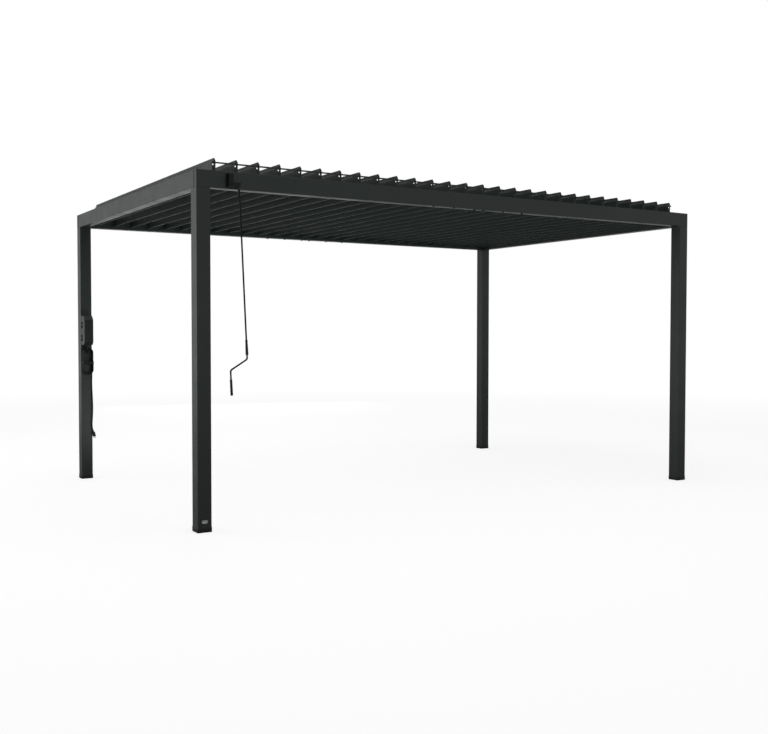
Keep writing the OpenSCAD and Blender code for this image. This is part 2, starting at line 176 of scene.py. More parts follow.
def smooth_route(points, steps):
    """A smooth curve through points, with a few steps between each two."""
    for i in range(len(points) - 1):
        a, b = points[max(i - 1, 0)], points[i]
        c, d = points[i + 1], points[min(i + 2, len(points) - 1)]
        for k in range(steps):
            t = k / steps
            yield 0.5 * (
                2 * b + (c - a) * t + (2 * a - 5 * b + 4 * c - d) * t * t
                + (3 * b - a - 3 * c + d) * t * t * t
            )
    yield points[-1]


tail_points = list(smooth_route([tail_start + Vector(p) for p in tail_route], 4))
cord_route = list(lead_points(16)) + list(hank_points(hank_turns * 48)) + tail_points

# %% [markdown]
# A few makers do all the shaping. Each builds a mesh point by point with bmesh, in its final
# place, so that no object has to be moved later. A lathe turns an outline about an axis, for
# grips, screws and collars. A loft joins rings of points, for plugs and straps.

# %% Makers


def new_piece(name, bm, body, slot, smooth_angle=40):
    """Turns a bmesh in millimetres from the corner into a piece with a finish, riding on a body."""
    bmesh.ops.recalc_face_normals(bm, faces=bm.faces)
    mesh = bpy.data.meshes.new(name)
    bm.to_mesh(mesh)
    bm.free()
    mesh.transform(Matrix.Translation(corner) @ Matrix.Scale(MM, 4))
    piece = bpy.data.objects.new(name, mesh)
    bpy.context.scene.collection.objects.link(piece)
    mesh.polygons.foreach_set("use_smooth", [True] * len(mesh.polygons))
    mesh.set_sharp_from_angle(angle=math.radians(smooth_angle))
    mesh.materials.append(finishes[slot])
    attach(piece, body)
    return piece


def add_loft(bm, rings, close_ends=True):
    """Joins rings of points into a skin, and closes both ends."""
    made = [[bm.verts.new(p) for p in ring] for ring in rings]
    n = len(made[0])
    for a, b in zip(made, made[1:]):
        for k in range(n):
            bm.faces.new((a[k], a[(k + 1) % n], b[(k + 1) % n], b[k]))
    if close_ends:
        bm.faces.new(list(reversed(made[0])))
        bm.faces.new(made[-1])


def frame_at(origin, axis, side=(1, 0, 0)):
    """A matrix whose Z runs along axis and whose X leans towards side."""
    z = Vector(axis).normalized()
    x = Vector(side)
    x = (x - x.dot(z) * z).normalized()
    return Matrix.Translation(origin) @ Matrix((x, z.cross(x), z)).transposed().to_4x4()


def add_lathe(bm, outline, origin, axis, segments=24, side=(1, 0, 0)):
    """Turns an outline of (radius, height) pairs about an axis."""
    place = frame_at(origin, axis, side)
    turn = 2 * math.pi / segments
    rings = [
        [
            place @ Vector((r * math.cos(k * turn), r * math.sin(k * turn), h))
            for k in range(segments)
        ]
        for r, h in outline
    ]
    add_loft(bm, rings)


def rounded_outline(w, h, r, steps=4):
    """Points round a rectangle with rounded corners."""
    points = []
    for cx, cy, first in ((1, 1, 0), (-1, 1, 90), (-1, -1, 180), (1, -1, 270)):
        for k in range(steps + 1):
            a = math.radians(first + 90 * k / steps)
            points.append(
                Vector((cx * (w / 2 - r) + r * math.cos(a), cy * (h / 2 - r) + r * math.sin(a), 0))
            )
    return points


def add_slab(bm, w, h, r, layers, place):
    """A stack of rounded rectangles: layers are (height, how far the edge draws in)."""
    rings = []
    for z, inset in layers:
        ring = rounded_outline(w - 2 * inset, h - 2 * inset, max(r - inset, 0.2))
        rings.append([place @ (p + Vector((0, 0, z))) for p in ring])
    add_loft(bm, rings)


FORWARDS = Matrix.Rotation(math.pi / 2, 4, "X")  # turns a slab's layers towards the front
print("makers ready")

# %% [markdown]
# Node trees take many lines if every node and link is written out. A few helpers place a node with
# its inputs in one call, and the groups below read like short sums.

# %% Helpers for node groups


def new_group(name, inputs, outputs):
    """An empty shader node group with named sockets; inputs are (name, type, value)."""
    group = bpy.data.node_groups.new(name, "ShaderNodeTree")
    for label, kind, value in inputs:
        socket = group.interface.new_socket(label, in_out="INPUT", socket_type=kind)
        socket.default_value = value
    for label, kind in outputs:
        group.interface.new_socket(label, in_out="OUTPUT", socket_type=kind)
    return group, group.nodes.new("NodeGroupInput"), group.nodes.new("NodeGroupOutput")


def put(tree, kind, links=(), **settings):
    """A node with its settings, fed by (socket, source) pairs; a source may be a value."""
    node = tree.nodes.new(kind)
    for key, value in settings.items():
        setattr(node, key, value)
    for socket, source in links:
        if isinstance(source, bpy.types.NodeSocket):
            tree.links.new(source, node.inputs[socket])
        else:
            node.inputs[socket].default_value = source
    return node


def mixed(tree, factor, a, b):
    """Colour a turning into colour b as factor goes from 0 to 1."""
    return put(tree, "ShaderNodeMix", ((0, factor), (6, a), (7, b)), data_type="RGBA").outputs[2]


def maths(tree, operation, a, b=0.0):
    """One sum; a and b may be sockets or numbers."""
    return put(tree, "ShaderNodeMath", ((0, a), (1, b)), operation=operation).outputs[0]


def ranged(tree, value, low, high, to_low=0.0, to_high=1.0):
    """Maps a value from one range to another, and stays inside it."""
    links = ((0, value), (1, low), (2, high), (3, to_low), (4, to_high))
    return put(tree, "ShaderNodeMapRange", links).outputs[0]


def noise(tree, coords, scale, detail=3.0, stretch=(1, 1, 1)):
    """Soft noise over the object, which may be stretched along an axis."""
    source = put(tree, "ShaderNodeMapping", (("Vector", coords), ("Scale", stretch))).outputs[0]
    links = (("Vector", source), ("Scale", scale), ("Detail", detail))
    return put(tree, "ShaderNodeTexNoise", links).outputs["Fac"]


COLOUR, NUMBER = "NodeSocketColor", "NodeSocketFloat"
print("group helpers ready")

# %% [markdown]
# Powder coat is the main finish. It is sprayed as dust and baked, so up close it has a fine
# orange-peel texture, and outdoors it gathers a little dust on level faces and faint rain marks on
# upright ones. Several materials need it, each in its own shade, so it is one node group with
# named inputs. The group gives colour, roughness and height; the shader stays in the material.

# %% Powder coat


def build_powder_coat():
    """The group for sprayed and baked coating."""
    group, given, result = new_group(
        "powder coat",
        [
            ("Colour", COLOUR, (0.04, 0.045, 0.044, 1)),
            ("Dust Colour", COLOUR, (0.075, 0.078, 0.070, 1)),
            ("Dust", NUMBER, 0.5),
            ("Rain Marks", NUMBER, 0.4),
            ("Roughness", NUMBER, 0.4),
        ],
        [("Colour", COLOUR), ("Roughness", NUMBER), ("Height", NUMBER)],
    )
    place = put(group, "ShaderNodeTexCoord").outputs["Object"]
    normal = put(group, "ShaderNodeNewGeometry").outputs["Normal"]
    up = put(group, "ShaderNodeSeparateXYZ", ((0, normal),)).outputs["Z"]
    cloud = noise(group, place, 1.3, 2.0)
    speck = noise(group, place, 210.0, 2.0)
    peel = noise(group, place, 620.0, 1.0)
    streak = noise(group, place, 30.0, 4.0, (1, 1, 0.03))
    smear = noise(group, place, 7.0, 5.0)
    shade = ranged(group, cloud, 0.3, 0.7, 0.90, 1.10)
    shade = maths(group, "MULTIPLY", shade, ranged(group, speck, 0.3, 0.7, 0.95, 1.05))
    links = ((0, given.outputs["Colour"]), (3, shade))
    toned = put(group, "ShaderNodeVectorMath", links, operation="SCALE")
    level = ranged(group, up, 0.55, 0.95)
    dust = maths(group, "MULTIPLY", level, ranged(group, smear, 0.32, 0.68, 0.25, 1.0))
    dust = maths(group, "MULTIPLY", dust, given.outputs["Dust"])
    upright = ranged(group, maths(group, "ABSOLUTE", up), 0.2, 0.5, 1.0, 0.0)
    marks = maths(group, "MULTIPLY", upright, ranged(group, streak, 0.58, 0.74))
    marks = maths(group, "MULTIPLY", marks, given.outputs["Rain Marks"])
    covered = maths(group, "ADD", dust, maths(group, "MULTIPLY", marks, 0.35))
    covered = maths(group, "MINIMUM", covered, 1.0)
    tone = mixed(group, covered, toned.outputs[0], given.outputs["Dust Colour"])
    group.links.new(tone, result.inputs["Colour"])
    shine = ranged(group, smear, 0.3, 0.7, -0.04, 0.05)
    rough = maths(group, "ADD", given.outputs["Roughness"], shine)
    rough = maths(group, "ADD", rough, maths(group, "MULTIPLY", covered, 0.25))
    group.links.new(rough, result.inputs["Roughness"])
    height = maths(group, "ADD", peel, maths(group, "MULTIPLY", speck, 0.4))
    group.links.new(height, result.inputs["Height"])
    return group


powder_coat = build_powder_coat()
print(powder_coat.name, "has", len(powder_coat.nodes), "nodes")

# %% [markdown]
# Coated edges rub through first. A second group finds them by comparing the true normal with one
# that the Bevel node has softened: where the two differ, the surface turns a corner. Noise breaks
# the mask up, so that no edge wears evenly.

# %% Rubbed edges


def build_rubbed_edges():
    """The group that masks worn edges."""
    group, given, result = new_group(
        "rubbed edges", [("Width", NUMBER, 0.002), ("Amount", NUMBER, 0.5)], [("Mask", NUMBER)]
    )
    place = put(group, "ShaderNodeTexCoord").outputs["Object"]
    plain = put(group, "ShaderNodeNewGeometry").outputs["Normal"]
    links = (("Radius", given.outputs["Width"]),)
    soft = put(group, "ShaderNodeBevel", links, samples=4).outputs[0]
    same = put(group, "ShaderNodeVectorMath", ((0, plain), (1, soft)), operation="DOT_PRODUCT")
    edge = ranged(group, same.outputs["Value"], 0.97, 0.80)
    broken = ranged(group, noise(group, place, 34.0, 4.0), 0.42, 0.62)
    mask = maths(group, "MULTIPLY", edge, broken)
    group.links.new(maths(group, "MULTIPLY", mask, given.outputs["Amount"]), result.inputs["Mask"])
    return group


rubbed_edges = build_rubbed_edges()
print(rubbed_edges.name, "has", len(rubbed_edges.nodes), "nodes")

# %% [markdown]
# Moulded parts, such as the foot trims, grips, plug and sockets, come out of a tool with a fine
# leather-like grain. A third group makes that grain from cells, with a little shine variation.

# %% Moulded grain


def build_moulded_grain():
    """The group for grained plastic and rubber."""
    group, given, result = new_group(
        "moulded grain",
        [
            ("Colour", COLOUR, (0.02, 0.02, 0.02, 1)),
            ("Scuff Colour", COLOUR, (0.06, 0.06, 0.058, 1)),
            ("Grain Scale", NUMBER, 900.0),
            ("Scuffs", NUMBER, 0.3),
            ("Roughness", NUMBER, 0.55),
        ],
        [("Colour", COLOUR), ("Roughness", NUMBER), ("Height", NUMBER)],
    )
    place = put(group, "ShaderNodeTexCoord").outputs["Object"]
    links = (("Vector", place), ("Scale", given.outputs["Grain Scale"]))
    cells = put(group, "ShaderNodeTexVoronoi", links)
    smear = noise(group, place, 26.0, 5.0)
    scuff = maths(group, "MULTIPLY", ranged(group, smear, 0.52, 0.72), given.outputs["Scuffs"])
    tone = mixed(group, scuff, given.outputs["Colour"], given.outputs["Scuff Colour"])
    group.links.new(tone, result.inputs["Colour"])
    shine = ranged(group, smear, 0.3, 0.7, -0.07, 0.07)
    rough = maths(group, "ADD", given.outputs["Roughness"], shine)
    group.links.new(rough, result.inputs["Roughness"])
    group.links.new(cells.outputs["Distance"], result.inputs["Height"])
    return group


moulded_grain = build_moulded_grain()
print(moulded_grain.name, "has", len(moulded_grain.nodes), "nodes")

# %% [markdown]
# Materials come next. Each is a Principled shader fed by one of the groups, with a Bump node for
# its height. Coated metal also shows a paler tone where the edge mask is.

# %% Material makers
PEEL_DEPTH, BRUSH_DEPTH = 0.00005, 0.00002


def start_material(name):
    """A new material with its node tree and its Principled shader."""
    material = bpy.data.materials.new(name)
    material.use_nodes = True
    tree = material.node_tree
    return material, tree, tree.nodes["Principled BSDF"]


def place_group(tree, group, **values):
    """A group in a material, with its own values."""
    node = tree.nodes.new("ShaderNodeGroup")
    node.node_tree = group
    for key, value in values.items():
        node.inputs[key.replace("_", " ")].default_value = value
    return node


def feed(tree, shader, colour, roughness, height, depth):
    """Joins a finish to its shader; depth is how many metres the height may rise."""
    bump = put(tree, "ShaderNodeBump", (("Height", height), ("Distance", depth), ("Strength", 1.0)))
    tree.links.new(colour, shader.inputs["Base Color"])
    tree.links.new(roughness, shader.inputs["Roughness"])
    tree.links.new(bump.outputs[0], shader.inputs["Normal"])


def coated_metal(
    name, colour, roughness=0.40, dust=0.5, rain=0.4, wear=0.35, width=0.002, specular=0.5,
):
    """Powder coat over metal, rubbed pale along its edges."""
    material, tree, shader = start_material(name)
    coat = place_group(
        tree, powder_coat, Colour=(*colour, 1), Dust=dust, Rain_Marks=rain, Roughness=roughness,
    )
    edges = place_group(tree, rubbed_edges, Width=width, Amount=wear)
    pale = tuple(min(1, 2.6 * c + 0.03) for c in colour)
    shade = mixed(tree, edges.outputs["Mask"], coat.outputs["Colour"], (*pale, 1))
    feed(tree, shader, shade, coat.outputs["Roughness"], coat.outputs["Height"], PEEL_DEPTH)
    shader.inputs["Specular IOR Level"].default_value = specular
    return material


def moulded(name, colour, roughness=0.55, grain=900.0, scuffs=0.3, depth=0.00006, specular=0.5):
    """Moulded plastic or rubber."""
    material, tree, shader = start_material(name)
    scuffed = tuple(min(1, 2.2 * c + 0.02) for c in colour)
    skin = place_group(
        tree, moulded_grain, Colour=(*colour, 1), Scuff_Colour=(*scuffed, 1),
        Grain_Scale=grain, Scuffs=scuffs, Roughness=roughness,
    )
    height = skin.outputs["Height"]
    feed(tree, shader, skin.outputs["Colour"], skin.outputs["Roughness"], height, depth)
    shader.inputs["Specular IOR Level"].default_value = specular
    return material


def bare_metal(name, colour, roughness=0.35):
    """Bare steel, with fine brushing and a few duller patches."""
    material, tree, shader = start_material(name)
    place = put(tree, "ShaderNodeTexCoord").outputs["Object"]
    brush = noise(tree, place, 500.0, 3.0, (1, 1, 0.04))
    patch = noise(tree, place, 30.0, 4.0)
    dull = tuple(0.55 * c for c in colour)
    shade = mixed(tree, ranged(tree, patch, 0.45, 0.75), (*colour, 1), (*dull, 1))
    rough = ranged(tree, brush, 0.3, 0.7, roughness - 0.08, roughness + 0.1)
    feed(tree, shader, shade, rough, brush, BRUSH_DEPTH)
    shader.inputs["Metallic"].default_value = 1.0
    return material


print("material makers ready")

# %% [markdown]
# Every material slot of the frame gets one finish. Posts, beams and blades are the same dark,
# slightly green grey, and the blades are a little duller. The eye that the crank hangs in is steel
# too, but it gets a much darker steel than the plug's pins and the small screws: painted shade.

# %% The finishes
ANTHRACITE = (0.0130, 0.0220, 0.0185)
finishes = {
    "frame_coat": coated_metal("frame coat", ANTHRACITE, roughness=0.40, rain=0.15, wear=0.25),
    "blade_coat": coated_metal(
        "blade coat", ANTHRACITE, roughness=0.46, dust=0.6, rain=0.3, wear=0.3,
        width=0.001, specular=0.4,
    ),
    "bar_coat": coated_metal(
        "bar coat", (0.013, 0.017, 0.016), roughness=0.45, wear=0.2, width=0.001,
    ),
    "foot_trim": moulded(
        "foot trim", (0.006, 0.006, 0.006), roughness=0.5, grain=700.0, scuffs=0.45,
    ),
    "gear_case": coated_metal(
        "gear case", (0.004, 0.004, 0.004), roughness=0.5, dust=0.25, rain=0.1, wear=0.15,
        specular=0.3,
    ),
    "crank_coat": coated_metal(
        "crank coat", (0.008, 0.009, 0.009), roughness=0.55, dust=0.1, rain=0.0, wear=0.05,
        specular=0.2,
    ),
    "bright_steel": bare_metal("bright steel", (0.55, 0.55, 0.56)),
    "grip": moulded("grip", (0.008, 0.008, 0.008), roughness=0.6, grain=1100.0),
    # The outlet shell is a darker grey than the frame: painted shade, for the shade on the box.
    "outlet_shell": coated_metal(
        "outlet shell", (0.009, 0.0145, 0.0125), roughness=0.40, dust=0.3, wear=0.25, specular=0.3,
    ),
    "socket": moulded(
        "socket", (0.003, 0.003, 0.003), roughness=0.7, grain=1400.0, scuffs=0.0, specular=0.05,
    ),
    "cord": moulded(
        "cord", (0.005, 0.005, 0.005), roughness=0.55, grain=1300.0, scuffs=0.2, depth=0.00004,
        specular=0.3,
    ),
}
slot_of = {row["node"]: row["material_slot"] for row in frame["record"]["subparts"]}
for node, piece in frame["nodes"].items():
    piece.data.materials.clear()
    piece.data.materials.append(finishes[slot_of[node]])
# The eye's much darker steel is painted shade on it.
painted_shade_steel = bare_metal("steel with painted shade", (0.09, 0.09, 0.09), roughness=0.5)
frame["nodes"]["gear_eye"].data.materials[0] = painted_shade_steel
print(len(finishes), "finishes on", len(slot_of), "nodes")

# %% [markdown]
# No folded or extruded metal has a razor edge. The frame's own meshes can't be changed, but they
# may carry modifiers: Weld joins their split corners, and Bevel rounds every edge sharper than an
# angle. The small rounding also shows each butt joint as a fine line, as on the real frame.

# %% Round the edges of the frame
rounding = {  # radius in mm for the nodes whose names start so
    "post_": 1.6, "foot_": 2.2, "beam_": 1.8, "gearbox": 1.5, "outlet_box": 2.5, "badge_plate": 0.4,
}
weld_reach = 0.05


def round_edges(piece, radius):
    """Joins split corners, rounds the sharp edges and keeps the flat faces shaded flat."""
    weld = piece.modifiers.new("weld", "WELD")
    weld.merge_threshold = weld_reach * MM
    bevel = piece.modifiers.new("round", "BEVEL")
    bevel.width = radius * MM
    bevel.segments = 2
    bevel.limit_method = "ANGLE"
    bevel.angle_limit = math.radians(40)
    piece.modifiers.new("shade", "WEIGHTED_NORMAL").keep_sharp = False


rounded = 0
for node, piece in frame["nodes"].items():
    for start, radius in rounding.items():
        if node.startswith(start):
            round_edges(piece, radius)
            rounded += 1
print(rounded, "nodes rounded")

# %% [markdown]
# Each post stands in a black shoe: a base plate with a low wall round the post. The frame has it
# with square edges; here it is a loft that runs up the outside, over a soft lip and down inside,
# through one rounded square after another.

# %% Shoes under the posts
shoe_walls = [  # proud of the post, corner radius, height
    (1.6, 4, 0), (2.4, 4.5, 1.2), (2.4, 4.5, 34), (1.8, 4, 37), (0.9, 3.5, 38), (0.1, 3, 37.4),
    (0.1, 3, 5),
]
for where in ("front_left", "front_right", "rear_left", "rear_right"):
    post_low, post_high = box_mm("post_" + where)
    middle = (post_low + post_high) / 2
    rings = []
    for proud, r, z in shoe_walls:
        w = post_w + 2 * proud
        outline = rounded_outline(w, w, r)
        rings.append([Vector((middle.x + p.x, middle.y + p.y, z)) for p in outline])
    bm = bmesh.new()
    add_loft(bm, rings)
    shoe = new_piece("shoe_" + where, bm, "frame", "foot_trim")
    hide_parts("foot_" + where)
print("shoes", max(z for _, _, z in shoe_walls), "mm high")

# %% [markdown]
# Where a side beam butts against a long beam, a thin near-black strip sits in the joint as painted
# shade: it stands for the shadow in the joint, and shows as a fine upright line on the frame's two ends.

# %% Painted shade in the corner joints
side_low, side_high = box_mm("beam_left")
shade_strip_l, shade_strip_w, shade_strip_sunk = side_high.z - side_low.z - 1, 9, 0.8
shade_strip_z = (side_low.z + side_high.z) / 2
bm = bmesh.new()
for x, side in ((0, -1), (frame_l, 1)):
    outwards = Matrix.Rotation(side * math.pi / 2, 4, "Y")
    for y in (side_low.y, side_high.y):
        place = Matrix.Translation((x - side * shade_strip_sunk, y, shade_strip_z)) @ outwards
        add_slab(bm, shade_strip_l, shade_strip_w, 1.2, [(0, 0), (shade_strip_sunk, 0), (shade_strip_sunk + 0.3, 0.5)], place)
# A near-black strip in each corner joint: painted shade for the shadow in the joint gap.
new_piece("joint_shade_strip", bm, "frame", "socket")
print("joint shade strips at", [round(v) for v in (side_low.y, side_high.y)], "mm from the front")

# %% [markdown]
# The cord goes in as a curve. The frame has two solids for it, its loose stretches and the outer
# shape of its turns, and this one curve stands for both.

# %% Power cord
cord_curve = bpy.data.curves.new("power_cord_run", "CURVE")
cord_curve.dimensions = "3D"
cord_curve.bevel_depth = cord_r * MM
cord_curve.bevel_resolution = 3
cord_curve.use_fill_caps = True
spline = cord_curve.splines.new("POLY")
spline.points.add(len(cord_route) - 1)
for point, place in zip(spline.points, cord_route):
    point.co = (*at(*place), 1)
cord = bpy.data.objects.new("power_cord_run", cord_curve)
bpy.context.scene.collection.objects.link(cord)
cord_curve.materials.append(finishes["cord"])
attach(cord, "frame")
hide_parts("power_cord", "cord_hank")
print("cord curve of", len(spline.points), "points")

# %% [markdown]
# A moulded strain relief keeps the cord from kinking where it leaves the box. It is a tapered boot
# with rings cut into it, so a lathe makes it from one outline.

# %% Strain relief
gland_top = gland_high.z - gland_low.z
gland_rings, ring_pitch = 5, 4.8
outline = [(4.7, 0.0), (5.4, 0.5)]
for k in range(gland_rings):
    z, r = 2.5 + ring_pitch * k, 5.6 + 0.6 * k
    outline += [(r, z), (r - 0.9, z + 0.6), (r - 0.8, z + 2.0), (r + 0.35, z + 2.6)]
outline += [(8.6, 27.6), (10.3, 28.2), (10.5, 28.8), (10.5, gland_top - 0.6), (9.9, gland_top)]
bm = bmesh.new()
add_lathe(bm, outline, lead_start, (0, 0, 1), 28)
gland = new_piece("strain_relief", bm, "frame", "grip", 60)
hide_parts("cord_gland")
print("strain relief", round(gland_top), "mm long")

# %% [markdown]
# The plug is moulded round the cord: a ringed boot, and a body with a waist to hold it by. Stacked
# rounded rectangles give the body its waist, and four ribs stand out of the waist.

# %% Plug body
plug_lean = math.radians(14)
boot_l, plug_l = 24.0, 44.0
plug_w, plug_t = 30.0, 23.0
plug_frame = Matrix.Translation(tail_points[-1]) @ Matrix.Rotation(-plug_lean, 4, "Y")
plug_down = (plug_frame.to_3x3() @ Vector((0, 0, -1))).normalized()
plug_side = (plug_frame.to_3x3() @ Vector((1, 0, 0))).normalized()
bm = bmesh.new()
outline = [(4.6, -1.0), (5.2, 0.0)]
for k in range(4):
    z, r = 2.0 + 5.0 * k, 5.4 + 0.5 * k
    outline += [(r, z), (r - 0.8, z + 0.7), (r - 0.7, z + 2.2), (r + 0.3, z + 2.9)]
outline += [(7.4, 22.5), (7.5, boot_l + 3)]
add_lathe(bm, outline, tail_points[-1], plug_down, 24, plug_side)
down = plug_frame @ Matrix.Rotation(math.pi, 4, "X")
layers = [  # how far below the boot's end, and how far the sides draw in
    (-1.0, 6.5), (1.5, 3.4), (5, 1.2), (12, 0.5), (20, 1.9), (28, 1.9), (34, 0.4), (36, 0.0),
    (plug_l - 1, 0.0), (plug_l, 0.8),
]
add_slab(bm, plug_w, plug_t, 8, [(boot_l + z, inset) for z, inset in layers], down)
for k in range(4):
    z = boot_l + 18.5 + 3.4 * k
    rib = [(z, 0.6), (z + 0.5, 0.0), (z + 1.2, 0.0), (z + 1.7, 0.6)]
    add_slab(bm, plug_w - 2.4, plug_t - 2.4, 7, rib, down)
plug_body = new_piece("plug_body", bm, "frame", "grip", 50)
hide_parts("plug")
print("plug at", [round(v) for v in tail_points[-1]])

# %% [markdown]
# Two flat blades and a round earth pin stand out of the plug's lower face.

# %% Plug blades
blade_w, blade_t, blade_l, blade_gap = 7, 1.6, 17, 13
bm = bmesh.new()
blade_z = boot_l + plug_l
blade = [(blade_z - 1, 0), (blade_z + blade_l - 1.5, 0), (blade_z + blade_l, 0.35)]
for x in (-blade_gap / 2, blade_gap / 2):
    place = down @ Matrix.Translation((x, -2.5, 0))
    add_slab(bm, blade_t, blade_w, 0.4, blade, place)
pin_start = down @ Vector((0, 7, blade_z - 1))
pin = [(2.4, 0), (2.4, 17.5), (2.0, 19.0), (1.0, 20.0)]
add_lathe(bm, pin, pin_start, plug_down, 16, plug_side)
plug_pins = new_piece("plug_pins", bm, "frame", "bright_steel")
print("blades", blade_l, "mm long,", blade_gap, "mm apart")

# %% [markdown]
# The hank hangs on a saddle that is screwed to the post. It is a plate and a curved tongue with a
# turned-up lip, and the tongue is a loft of curved strips.

# %% Saddle for the hank
saddle_w, saddle_t = 36.0, 2.0
saddle_drop = 3.8  # how far the tongue's sides curve down
saddle_z = hank_z + hank_run / 2 + hank_bend - cord_r - 1.2


def saddle_ring(y, z, tilt):
    """A strip across the tongue at y, curved down at its sides."""
    thick = Vector((0, math.sin(tilt), math.cos(tilt))) * saddle_t
    top = []
    for k in range(9):
        u = k / 4 - 1
        top.append(Vector((hank_x + u * saddle_w / 2, y, z - saddle_drop * u * u)))
    return top + [p - thick for p in reversed(top)]


bm = bmesh.new()
lip_r = 8.0
lip_y = hank_low.y - 2 * cord_r + 10.5  # where the tongue starts to turn up
rings = [saddle_ring(post_face - 0.2, saddle_z, 0), saddle_ring(lip_y, saddle_z, 0)]
for k in range(1, 5):
    a = math.radians(20 * k)
    y, z = lip_y - lip_r * math.sin(a), saddle_z + lip_r * (1 - math.cos(a))
    rings.append(saddle_ring(y, z, -a))
add_loft(bm, rings)
plate_h, plate_t = 44.0, 2.0
plate_place = Matrix.Translation((hank_x, post_face, saddle_z - plate_h / 2)) @ FORWARDS
add_slab(bm, saddle_w, plate_h, 5, [(0, 0), (plate_t - 0.4, 0), (plate_t, 0.4)], plate_place)
rivet = [(3.6, 0), (3.6, 1.0), (2.9, 1.9), (1.5, 2.1), (1.4, 1.0)]
for z in (-14, -30):
    place = Vector((hank_x, post_face - plate_t, saddle_z + z))
    add_lathe(bm, rivet, place, (0, -1, 0), 20)
new_piece("hank_saddle", bm, "frame", "crank_coat")
print("saddle top at", round(saddle_z), "mm")

# %% [markdown]
# A soft strap holds the turns together. It is a thin band that lies on the runs' outside, so its
# loft goes once round them and joins its own start, and a tab in front closes it.

# %% Strap round the hank
strap_h, strap_t = 24.0, 1.4
strap_z = hank_z - 30
left, right = hank_low.x - 0.4, hank_high.x + 0.4
back_y = post_face - 0.3
front_left, front_right = hank_low.y - 5.4, hank_low.y - 2 * cord_r - 0.8
outline = [
    (left, back_y - 4), (left + 1, back_y - 1), (left + 4, back_y), (right - 4, back_y),
    (right - 1, back_y - 1), (right, back_y - 4), (right, front_right + 5),
    (right - 1.2, front_right + 1.2), (right - 5, front_right),
    (hank_x, (front_left + front_right) / 2), (left + 5, front_left),
    (left + 1.2, front_left + 1.2), (left, front_left + 5),
]
strap_section = [  # height, share of the thickness
    (0, 0.15), (1.2, 1), (strap_h - 1.2, 1), (strap_h, 0.15), (strap_h, 0), (0, 0),
]
bm = bmesh.new()
count = len(outline)
rings = []
for i, (x, y) in enumerate(outline):
    before, after = Vector(outline[i - 1]), Vector(outline[(i + 1) % count])
    along = (after - before).normalized()
    out = Vector((-along.y, along.x)) * (strap_t if y < back_y - 3 else 0.25)
    rings.append([
        Vector((x + out.x * share, y + out.y * share, strap_z + dz)) for dz, share in strap_section
    ])
add_loft(bm, rings + rings[:1], close_ends=False)
bmesh.ops.remove_doubles(bm, verts=bm.verts, dist=0.01)
tab_w, tab_y = 34, (front_left + front_right) / 2 - 1.0
tab = Matrix.Translation((hank_x + 14, tab_y, strap_z + strap_h / 2)) @ FORWARDS
add_slab(bm, tab_w, strap_h - 2, 4, [(0, 0), (1.6, 0), (2.2, 0.6)], tab)
new_piece("hank_strap", bm, "frame", "cord")
print("strap at", round(strap_z), "mm")

# %% [markdown]

# %% [markdown]
# The crank hangs by a hook in the gearbox's eye and leans a little. Its two grips are rubber
# sleeves with rings to hold them by. Their place follows from the hinge that the crank swings on.

# %% Crank grips
hinge = {j["name"]: j for j in frame["joints"]}
swing = (Vector(hinge["crank_swing"]["pos_m"]) - corner) / MM
crank_lean = math.radians(2.7)
crank_frame = Matrix.Translation(swing) @ Matrix.Rotation(-crank_lean, 4, "Y")
crank_up = (crank_frame.to_3x3() @ Vector((0, 0, 1))).normalized()


def grip_outline(length, foot_r, top_r):
    """A sleeve with rounded ends and shallow rings, which may taper towards its top."""

    def r(z):
        return foot_r + (top_r - foot_r) * z / length

    points = [(foot_r - 3.4, 0), (foot_r - 1.6, 0.5), (foot_r - 0.4, 1.8), (foot_r, 3.6)]
    z = 9.0
    while z < length - 12:
        points += [(r(z), z), (r(z) - 0.7, z + 0.8), (r(z) - 0.7, z + 2.0), (r(z + 2.8), z + 2.8)]
        z += 6.0
    return points + [(top_r, length - 3.6), (top_r - 0.5, length - 1.6), (top_r - 1.4, length)]


rod_y, crank_throw = -8, 130
upper_foot = crank_frame @ Vector((0, rod_y, -1150))
lower_foot = crank_frame @ Vector((-crank_throw, rod_y, -1426))
bm = bmesh.new()
add_lathe(bm, grip_outline(106, 10.6, 8.2), upper_foot, crank_up, 28)
add_lathe(bm, grip_outline(112, 9.6, 8.8), lower_foot, crank_up, 28)
grips = new_piece("crank_grip_sleeves", bm, "crank", "grip", 50)
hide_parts("crank_grips")
print("grips from", [round(v) for v in lower_foot], "up")

# %% [markdown]
# Small hardware tells the eye how big a thing is. One outline of a pan-head screw with a socket
# makes every screw here, and each group of screws on one body is one piece.

# %% Screw makers


def add_screw(bm, place, out, r, h, side=(1, 0, 0)):
    """A pan-head screw with a recess; out is the way its head faces."""
    outline = [
        (r, -0.3), (r, 0.45 * h), (0.86 * r, 0.85 * h), (0.6 * r, h), (0.45 * r, h),
        (0.42 * r, 0.4 * h),
    ]
    add_lathe(bm, outline, Vector(place), out, 18, side)


def screw_piece(name, places, out, r, h, body, slot):
    """One piece of several equal screws."""
    bm = bmesh.new()
    side = (0, 1, 0) if abs(out[0]) > 0.5 else (1, 0, 0)
    for place in places:
        add_screw(bm, place, out, r, h, side)
    new_piece(name, bm, body, slot)


print("screw makers ready")

# %% [markdown]
# The long beams are spliced at their middle. Six large screws hold each splice from below.

# %% Splice screws
beam_foot = box_mm("beam_front")[0].z
splice_in = 22
splice = [frame_l / 2 + s * d for d in (45, 250, 450) for s in (-1, 1)]
for name, y in (("splice_screws_front", splice_in), ("splice_screws_rear", frame_d - splice_in)):
    places = [(x, y, beam_foot) for x in splice]
    screw_piece(name, places, (0, 0, -1), 9, 6.5, "frame", "gear_case")
print("splice screws at", [round(x) for x in sorted(splice)], "mm")

# %% [markdown]
# The gearbox's front is a separate cover plate with a screw in each corner.

